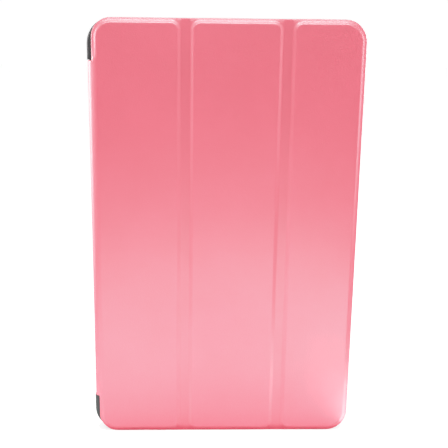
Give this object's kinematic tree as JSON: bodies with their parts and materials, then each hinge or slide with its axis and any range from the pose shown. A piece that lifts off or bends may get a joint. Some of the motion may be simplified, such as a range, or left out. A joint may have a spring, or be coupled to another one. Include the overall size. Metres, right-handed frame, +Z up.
{
  "type": "tablet case",
  "caption": "Tri-fold folio case for a ten-inch tablet: hard snap-in back shell, leather spine and a front cover in stiff panels that fold into a stand.",
  "frame": {"origin": "middle of the bottom edge of the closed case, on the surface it stands on", "axes": "+Z up along the case's height, +X across the cover from the spine to the free edge, -Y out of the front cover"},
  "size_m": [0.1628, 0.0134, 0.2589],
  "materials": {
    "cover_leather": "pink faux leather with a fine silky grain, semi-gloss",
    "microfibre_lining": "brushed microfibre, matt",
    "shell_plastic": "dark grey moulded plastic, satin",
    "stiffener_board": "pressed fibre board, matt",
    "keeper_steel": "thin cold-rolled strip",
    "magnet_metal": "nickel-plated magnet"
  },
  "bodies": {
    "shell": {"back_shell": "shell_plastic", "shell_corner_upper_spine": "shell_plastic", "shell_corner_upper_free": "shell_plastic", "shell_corner_lower_spine": "shell_plastic", "shell_corner_lower_free": "shell_plastic", "shell_wall_upper": "shell_plastic", "shell_wall_lower": "shell_plastic", "shell_wall_free": "shell_plastic", "back_flap_leather": "cover_leather"},
    "spine": {"spine_leather": "cover_leather", "spine_lining": "microfibre_lining"},
    "panel_1": {"cover_leather_1": "cover_leather", "panel_board_1": "stiffener_board", "cover_lining_1": "microfibre_lining", "steel_keeper_strip": "keeper_steel"},
    "fold_strip_1": {"fold_leather_1": "cover_leather", "fold_lining_1": "microfibre_lining"},
    "panel_2": {"cover_leather_2": "cover_leather", "panel_board_2": "stiffener_board", "cover_lining_2": "microfibre_lining"},
    "fold_strip_2": {"fold_leather_2": "cover_leather", "fold_lining_2": "microfibre_lining"},
    "panel_3": {"cover_leather_3": "cover_leather", "panel_board_3": "stiffener_board", "cover_lining_3": "microfibre_lining", "closing_magnet_upper": "magnet_metal", "closing_magnet_lower": "magnet_metal", "wake_magnet": "magnet_metal"}
  },
  "joints": [
    {"name": "spine_back_hinge", "type": "hinge", "parent": "shell", "child": "spine", "pos_m": [-0.07976, 0.00588, 0.12945], "axis": [0, 0, -1], "range_deg": [0, 175]},
    {"name": "cover_hinge", "type": "hinge", "parent": "spine", "child": "panel_1", "pos_m": [-0.07987, -0.00497, 0.12945], "axis": [0, 0, -1], "range_deg": [0, 90]},
    {"name": "fold_1", "type": "hinge", "parent": "panel_1", "child": "fold_strip_1", "pos_m": [-0.02655, -0.0057, 0.12945], "axis": [0, 0, -1], "range_deg": [0, 65]},
    {"name": "fold_1_second_crease", "type": "hinge", "parent": "fold_strip_1", "child": "panel_2", "pos_m": [-0.02105, -0.0057, 0.12945], "axis": [0, 0, -1], "range_deg": [0, 65]},
    {"name": "fold_2", "type": "hinge", "parent": "panel_2", "child": "fold_strip_2", "pos_m": [0.03265, -0.0057, 0.12945], "axis": [0, 0, -1], "range_deg": [0, 65]},
    {"name": "fold_2_second_crease", "type": "hinge", "parent": "fold_strip_2", "child": "panel_3", "pos_m": [0.03815, -0.0057, 0.12945], "axis": [0, 0, -1], "range_deg": [0, 65]}
  ],
  "couplings": [
    {"joint": "fold_1_second_crease", "follows": "fold_1", "ratio": 1},
    {"joint": "fold_2_second_crease", "follows": "fold_2", "ratio": 1}
  ]
}
